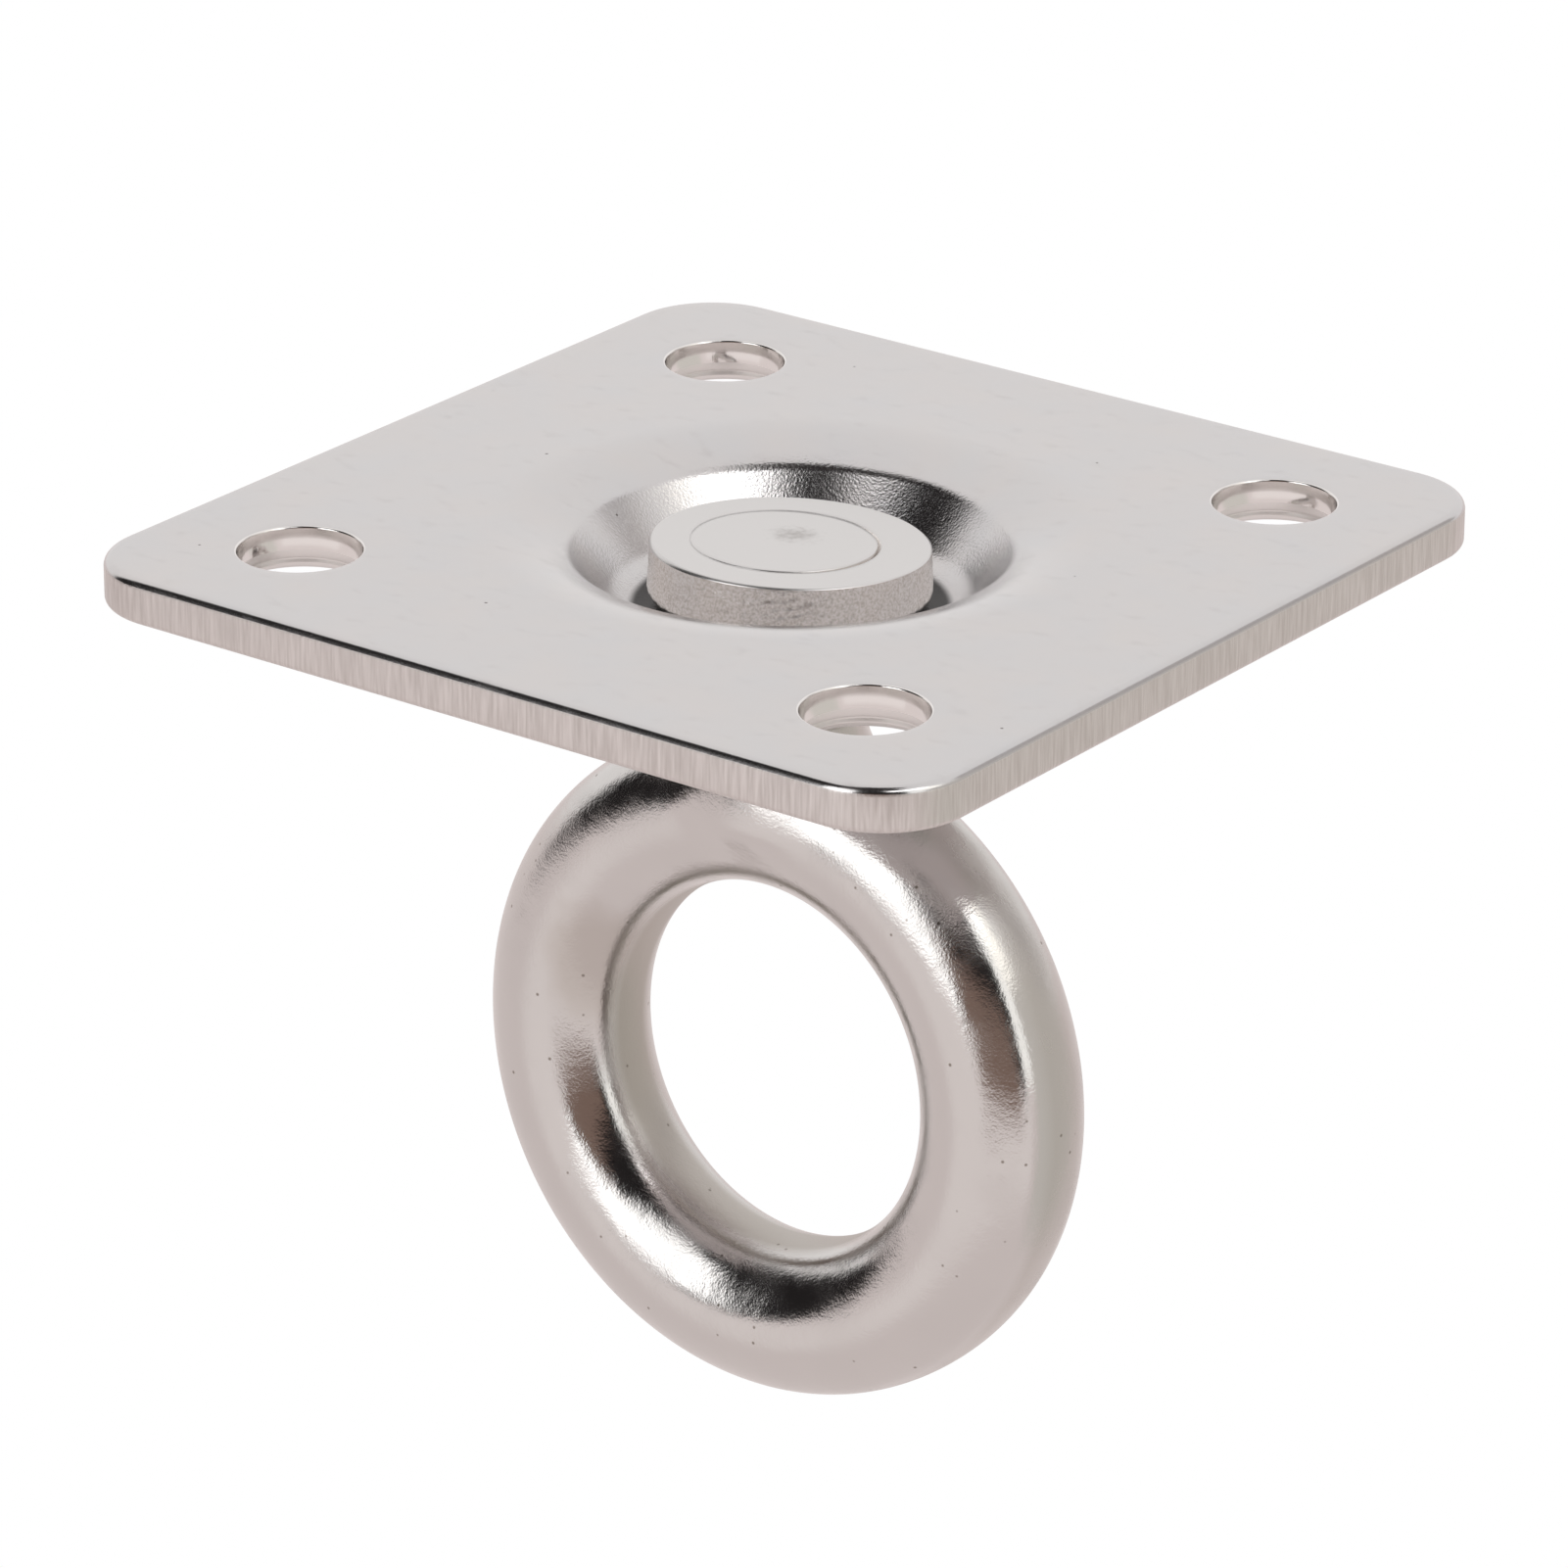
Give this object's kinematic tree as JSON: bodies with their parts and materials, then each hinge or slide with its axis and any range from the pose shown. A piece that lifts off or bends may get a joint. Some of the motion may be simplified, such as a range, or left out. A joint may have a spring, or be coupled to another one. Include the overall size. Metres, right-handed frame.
{
  "type": "swivel pad eye",
  "caption": "Square stainless plate with a pressed dish and corner screw holes, carrying a forged ring eye that hangs below and spins on a shank held by a collar sunk in the dish.",
  "frame": {"origin": "centre of the plate's mounting face, over the middle of the dish", "axes": "+Z points out of the mounting face, towards the ceiling or deck it is screwed to; X and Y run along the sides of the plate; the ring stands in the XZ plane at rest and hangs towards -Z"},
  "size_m": [0.05, 0.05, 0.0452],
  "materials": {
    "plate_steel": "satin stamped stainless sheet with polished rolled edges",
    "eye_steel": "polished forged stainless with a faint orange peel",
    "collar_steel": "rough as-cast side with a finely ground top face"
  },
  "bodies": {
    "plate": {"base_plate": "plate_steel"},
    "eye": {"swivel_eye": "eye_steel", "retaining_collar": "collar_steel"}
  },
  "joints": [
    {"name": "eye_swivel", "type": "hinge", "parent": "plate", "child": "eye", "pos_m": [0, 0, 0], "axis": [-0.0234, 0.0511, 0.9984], "continuous": true}
  ]
}
